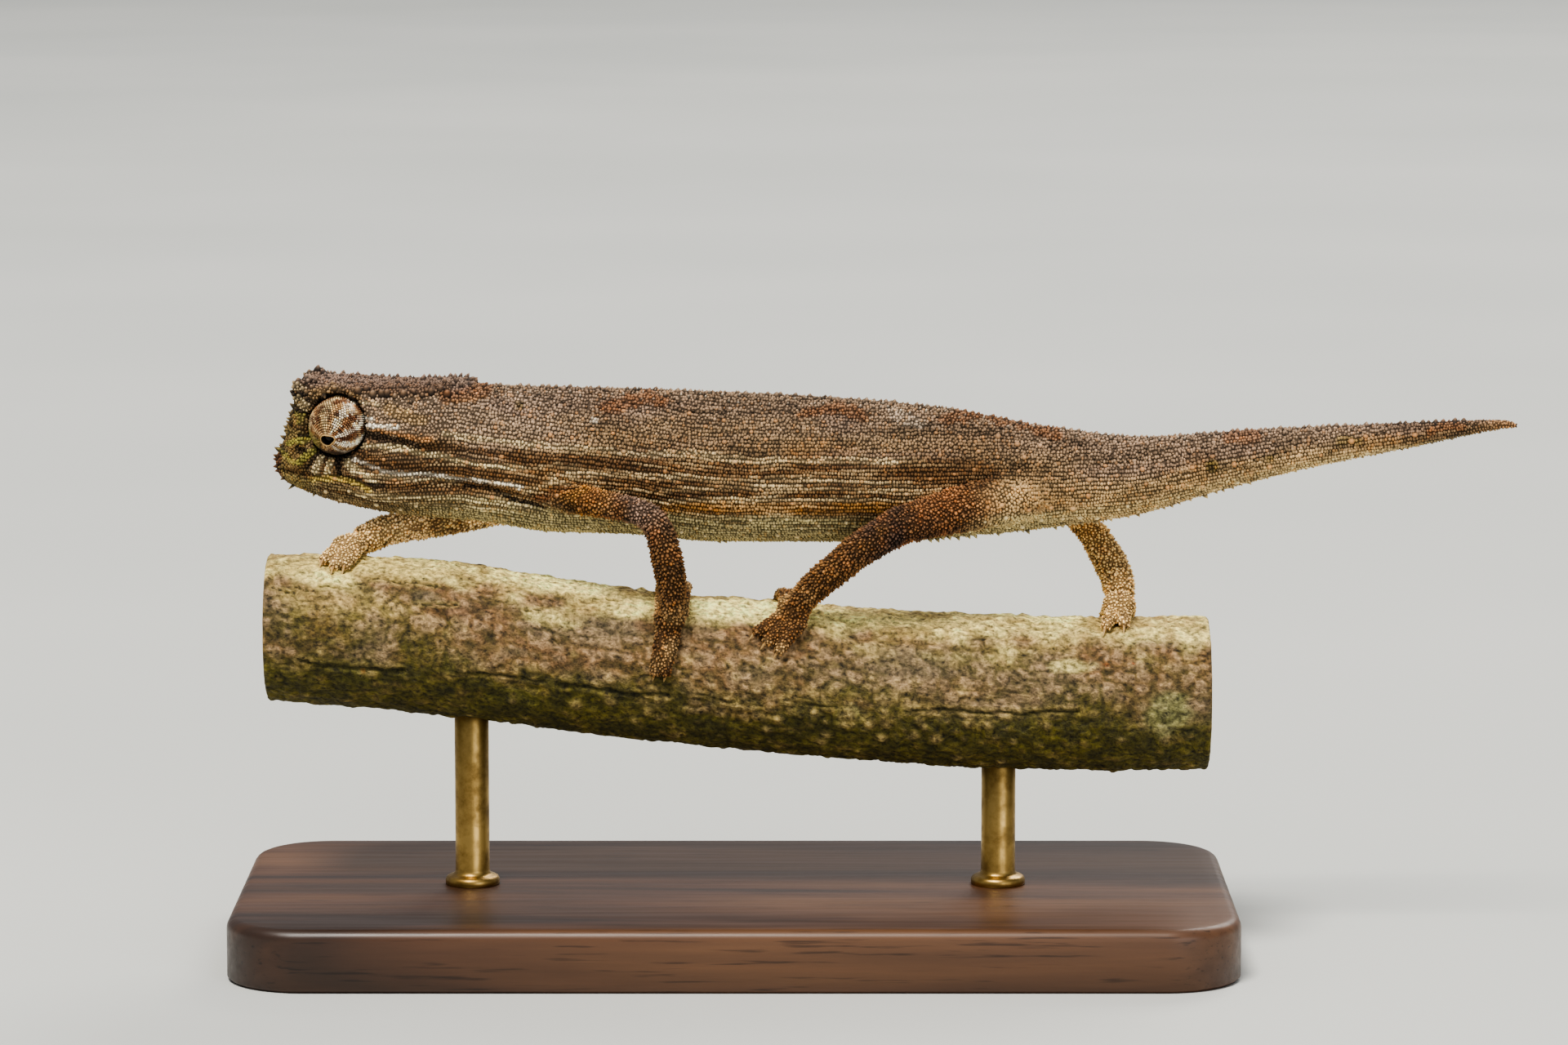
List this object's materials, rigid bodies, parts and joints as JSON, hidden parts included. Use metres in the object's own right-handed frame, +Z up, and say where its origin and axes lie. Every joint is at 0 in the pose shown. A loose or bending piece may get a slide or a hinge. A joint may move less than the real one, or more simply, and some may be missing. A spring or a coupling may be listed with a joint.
{
  "type": "pygmy chameleon figure",
  "caption": "Life-size figure of a small stump-tailed chameleon walking along a short cut branch, held up by a flat base and short rods.",
  "frame": {"origin": "middle of the flat base's underside", "axes": "+X from the snout towards the tail tip, +Z up, the animal's left side faces -Y"},
  "size_m": [0.0823, 0.03, 0.0373],
  "materials": {
    "skin": "dry granular scales, matte",
    "limb_skin": "dry spiny scales, matte",
    "eyelids": "fine ringed scales, matte",
    "eyes": "wet gloss",
    "perch_bark": "dry bark, matte",
    "stand_wood": "dark stain, satin",
    "stand_rods": "aged, satin"
  },
  "bodies": {
    "root": {"head": "skin", "neck": "skin", "torso": "skin", "tail_base": "skin", "tail_tip": "skin", "eye_left": "eyes", "eye_right": "eyes", "eyelid_left": "eyelids", "eyelid_right": "eyelids", "upper_arm_left": "limb_skin", "forearm_left": "limb_skin", "forefoot_left": "limb_skin", "thigh_left": "limb_skin", "shank_left": "limb_skin", "hindfoot_left": "limb_skin", "upper_arm_right": "limb_skin", "forearm_right": "limb_skin", "forefoot_right": "limb_skin", "thigh_right": "limb_skin", "shank_right": "limb_skin", "hindfoot_right": "limb_skin", "perch_branch": "perch_bark", "stand_base": "stand_wood", "stand_rod_front": "stand_rods", "stand_rod_back": "stand_rods"}
  },
  "joints": []
}
